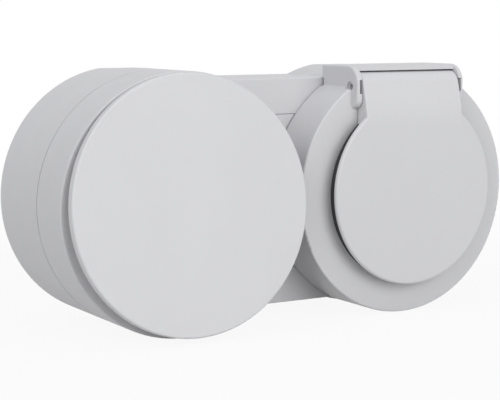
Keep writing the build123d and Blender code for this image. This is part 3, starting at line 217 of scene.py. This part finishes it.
def threaded_steel(name, colour):
    """Plated screw steel with the thread as fine bands across the shank"""
    material, tree, shader = new_tree(name)
    coords = part_coords(tree)
    cloud = noise(tree, coords, SCREW_PLATING_SCALE, detail=4, rough=0.6)
    tint(tree, shader, cloud, colour, change=0.08, low=0.3, high=0.7)
    sheen(tree, shader, cloud, low=0.34, high=0.5)
    wave = tree.nodes.new("ShaderNodeTexWave")
    wave.wave_type = "BANDS"
    wave.bands_direction = "Y"
    wave.inputs["Scale"].default_value = THREAD_SCALE
    wave.inputs["Distortion"].default_value = 0.0
    tree.links.new(coords, wave.inputs["Vector"])
    bump(tree, shader, wave.outputs["Fac"], strength=0.6, distance=0.0002)
    shader.inputs["Metallic"].default_value = 1.0
    return material


# One material for each slot of the record
materials = {
    # Housing, rocker and lid are one grey plastic; their slightly different tones are painted shade
    # and painted light, darkest on the housing and lightest on the rocker
    "housing_plastic": moulded_plastic("grey_housing", (0.644, 0.641, 0.652)),
    "rocker_plastic": moulded_plastic("grey_rocker", (0.676, 0.673, 0.683), rough=0.48, grain=0.2),
    "lid_plastic": moulded_plastic("grey_lid", (0.656, 0.653, 0.663), grain=0.2),
    "insert_plastic": moulded_plastic("grey_insert", (0.70, 0.70, 0.72), rough=0.4, grain=0.14),
    "inner_plastic": moulded_plastic("inner_plastic", (0.74, 0.72, 0.66), rough=0.42, grain=0.12),
    "seal_rubber": rubber("seal_rubber", (0.045, 0.045, 0.048)),
    "grommet_rubber": rubber("grommet_rubber", (0.27, 0.27, 0.29)),
    "zinc_steel": plated_steel("zinc_steel", (0.62, 0.63, 0.64), rough=0.36, stretch=(1, 1, 0.08)),
    "spring_steel": plated_steel("spring_steel", (0.48, 0.48, 0.5), rough=0.3, stretch=(0.2, 1, 1)),
    "screw_steel": threaded_steel("screw_steel", (0.5, 0.5, 0.51)),
    "contact_brass": stamped_brass("contact_brass", (0.72, 0.50, 0.22), rough=0.28),
    "earth_metal": stamped_brass("earth_metal", (0.74, 0.62, 0.38), rough=0.26),
}

for entry in frame["record"]["subparts"]:
    node = frame["nodes"][entry["node"]]
    node.data.materials.clear()
    node.data.materials.append(materials[entry["material_slot"]])


def rays(tree, *kinds):
    """One for rays of the named kinds and zero for all others"""
    path = tree.nodes.new("ShaderNodeLightPath")
    found = path.outputs[kinds[0]]
    for kind in kinds[1:]:
        either = tree.nodes.new("ShaderNodeMath")
        either.operation = "MAXIMUM"
        tree.links.new(found, either.inputs[0])
        tree.links.new(path.outputs[kind], either.inputs[1])
        found = either.outputs[0]
    return found


def blend(tree, share, plain, white, out):
    """Surface that goes from the plain to the white shader as the share grows"""
    mix = tree.nodes.new("ShaderNodeMixShader")
    tree.links.new(share, mix.inputs["Fac"])
    tree.links.new(plain, mix.inputs[1])
    tree.links.new(white, mix.inputs[2])
    tree.links.new(mix.outputs["Shader"], out.inputs["Surface"])


def white_share(tree, coords):
    """Share of plain white in the floor, which grows away from the object"""
    distance = tree.nodes.new("ShaderNodeVectorMath")
    distance.operation = "LENGTH"
    tree.links.new(coords, distance.inputs[0])
    fade = tree.nodes.new("ShaderNodeMapRange")
    fade.interpolation_type = "SMOOTHSTEP"
    fade.inputs["From Min"].default_value = FADE_START
    fade.inputs["From Max"].default_value = FADE_END
    fade.inputs["To Min"].default_value = WHITE_SHARE_NEAR
    fade.inputs["To Max"].default_value = WHITE_SHARE_FAR
    tree.links.new(distance.outputs["Value"], fade.inputs["Value"])
    share = tree.nodes.new("ShaderNodeMath")
    share.operation = "MULTIPLY"
    tree.links.new(rays(tree, "Is Camera Ray", "Is Glossy Ray"), share.inputs[0])
    tree.links.new(fade.outputs["Result"], share.inputs[1])
    return share.outputs[0]


def floor_material():
    """Pale floor that keeps the object's shadow near it and fades to plain white far off"""
    material, tree, shader = new_tree("studio_floor")
    coords = part_coords(tree)
    cloud = noise(tree, coords, FLOOR_CLOUD_SCALE, detail=2, rough=0.5)
    tone = ramp(tree, cloud, NOISE_LOW, NOISE_HIGH, FLOOR_DARK, FLOOR_LIGHT)
    tree.links.new(tone, shader.inputs["Base Color"])
    shader.inputs["Roughness"].default_value = 0.9
    shader.inputs["Specular IOR Level"].default_value = 0.1
    glow = tree.nodes.new("ShaderNodeEmission")
    glow.inputs["Strength"].default_value = 1.0
    out = next(n for n in tree.nodes if n.type == "OUTPUT_MATERIAL")
    share = white_share(tree, coords)
    blend(tree, share, shader.outputs["BSDF"], glow.outputs["Emission"], out)
    return material


def studio_floor():
    """Large plain floor under the object"""
    corners = [(x * FLOOR_HALF, y * FLOOR_HALF, FLOOR_Z)
               for x, y in ((-1, -1), (1, -1), (1, 1), (-1, 1))]
    mesh = bpy.data.meshes.new("studio_floor")
    mesh.from_pydata(corners, [], [(0, 1, 2, 3)])
    floor = bpy.data.objects.new("studio_floor", mesh)
    bpy.context.scene.collection.objects.link(floor)
    mesh.materials.append(floor_material())


def studio_world():
    """Even soft light all round that looks white behind the object and in its reflections"""
    world = bpy.data.worlds.new("studio_world")
    bpy.context.scene.world = world
    world.use_nodes = True
    tree = world.node_tree
    out = next(n for n in tree.nodes if n.type == "OUTPUT_WORLD")
    light = next(n for n in tree.nodes if n.type == "BACKGROUND")
    light.inputs["Color"].default_value = (*WORLD_TINT, 1)
    light.inputs["Strength"].default_value = WORLD_LEVEL
    white = tree.nodes.new("ShaderNodeBackground")
    white.inputs["Color"].default_value = (1, 1, 1, 1)
    white.inputs["Strength"].default_value = 1.0
    seen = rays(tree, "Is Camera Ray", "Is Transmission Ray", "Is Glossy Ray")
    blend(tree, seen, light.outputs["Background"], white.outputs["Background"], out)


def softbox(name, place, power):
    """Square soft lamp aimed at the object"""
    data = bpy.data.lights.new(name, "AREA")
    data.shape = "SQUARE"
    data.size = LAMP_SIZE
    data.energy = power
    lamp = bpy.data.objects.new(name, data)
    lamp.location = place
    aim = Vector(LAMP_TARGET) - Vector(place)
    lamp.rotation_euler = aim.to_track_quat("-Z", "Y").to_euler()
    bpy.context.scene.collection.objects.link(lamp)


def photo_camera():
    """Camera at the photograph's place and angle"""
    level = math.cos(CAMERA_PITCH)
    ahead = Vector((math.sin(CAMERA_YAW) * level, math.cos(CAMERA_YAW) * level,
                    -math.sin(CAMERA_PITCH)))
    data = bpy.data.cameras.new("camera")
    data.sensor_fit = "HORIZONTAL"
    data.sensor_width = CAMERA_FILM
    data.lens = CAMERA_LENS
    camera = bpy.data.objects.new("camera", data)
    turn = ahead.to_track_quat("-Z", "Y").to_matrix().to_4x4()
    roll = Matrix.Rotation(CAMERA_ROLL, 4, "Z")
    camera.matrix_world = Matrix.Translation(Vector(CAMERA_PLACE)) @ turn @ roll
    bpy.context.scene.collection.objects.link(camera)
    bpy.context.scene.camera = camera


studio_floor()
studio_world()
for lamp in LAMPS:
    softbox(*lamp)
photo_camera()
bpy.context.scene.view_settings.view_transform = "Standard"
